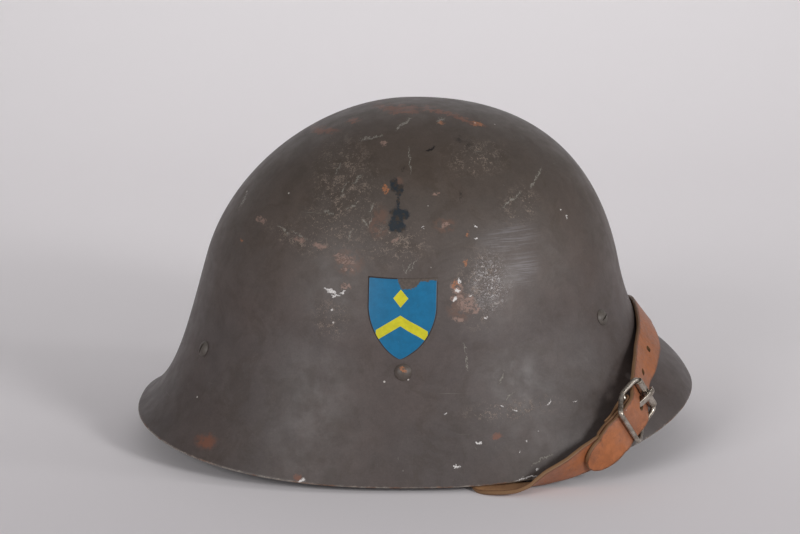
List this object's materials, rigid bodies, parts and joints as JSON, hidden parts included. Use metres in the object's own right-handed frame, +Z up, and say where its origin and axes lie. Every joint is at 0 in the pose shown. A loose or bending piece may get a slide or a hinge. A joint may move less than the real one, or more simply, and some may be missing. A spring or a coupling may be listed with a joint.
{
  "type": "steel helmet",
  "caption": "Deep steel helmet with a flared visor and neck guard, a leather liner on a sheet band, and a leather chin strap stowed over the visor and closed by a roller buckle.",
  "frame": {"origin": "centre of the bounding box in X and Y, at the lowest point of the chin strap, which the helmet stands on with the back of its rim", "axes": "+X to the front, over the visor; +Y to the wearer's left; +Z up through the crown"},
  "size_m": [0.298, 0.2566, 0.1786],
  "materials": {
    "shell": "old semi-matt grey-brown paint, worn to steel along the rim",
    "band": "dull rolled sheet",
    "steel": "dull plain steel",
    "screws": "painted over with the shell, worn on the head",
    "liner_leather": "soft pigskin, dull",
    "liner_rivets": "tarnished brass",
    "lace": "round leather lace",
    "felt": "thick wool felt",
    "strap_rivets": "painted over, worn on the dome",
    "fittings": "plain steel with a little rust",
    "strap_leather": "orange-brown strap leather, worn dark at its edges",
    "end_rivets": "dull copper",
    "buckle": "worn bright steel"
  },
  "bodies": {
    "helmet": {"shell": "shell", "liner_band": "band", "band_spacers": "steel", "liner_screws": "screws", "liner_nuts": "steel", "leather_liner": "liner_leather", "liner_rivets": "liner_rivets", "draw_lace": "lace", "front_pad": "felt", "rear_pad": "felt", "left_pad": "felt", "right_pad": "felt", "left_strap_rivet": "strap_rivets", "right_strap_rivet": "strap_rivets", "left_rivet_washer": "steel", "right_rivet_washer": "steel", "left_lug": "fittings", "right_lug": "fittings", "short_chin_strap": "strap_leather", "long_chin_strap": "strap_leather", "strap_end_rivets": "end_rivets", "buckle_frame": "buckle"},
    "left_bail": {"left_bail": "fittings"},
    "right_bail": {"right_bail": "fittings"},
    "roller": {"buckle_roller": "buckle"},
    "prong": {"buckle_prong": "buckle"}
  },
  "joints": [
    {"name": "roller_spin", "type": "hinge", "parent": "helmet", "child": "roller", "pos_m": [0.11569, -0.08553, 0.04056], "axis": [-0.4822, -0.3328, 0.8104], "continuous": true},
    {"name": "prong_hinge", "type": "hinge", "parent": "helmet", "child": "prong", "pos_m": [0.10822, -0.09209, 0.03342], "axis": [0.4822, 0.3328, -0.8104], "range_deg": [0, 10]},
    {"name": "left_bail_hinge", "type": "hinge", "parent": "helmet", "child": "left_bail", "pos_m": [0.00503, 0.10241, 0.043], "axis": [0.7796, -0.095, 0.619], "range_deg": [-5, 5]},
    {"name": "right_bail_hinge", "type": "hinge", "parent": "helmet", "child": "right_bail", "pos_m": [0.00503, -0.10241, 0.043], "axis": [0.7796, 0.095, 0.619], "range_deg": [-5, 5]}
  ]
}
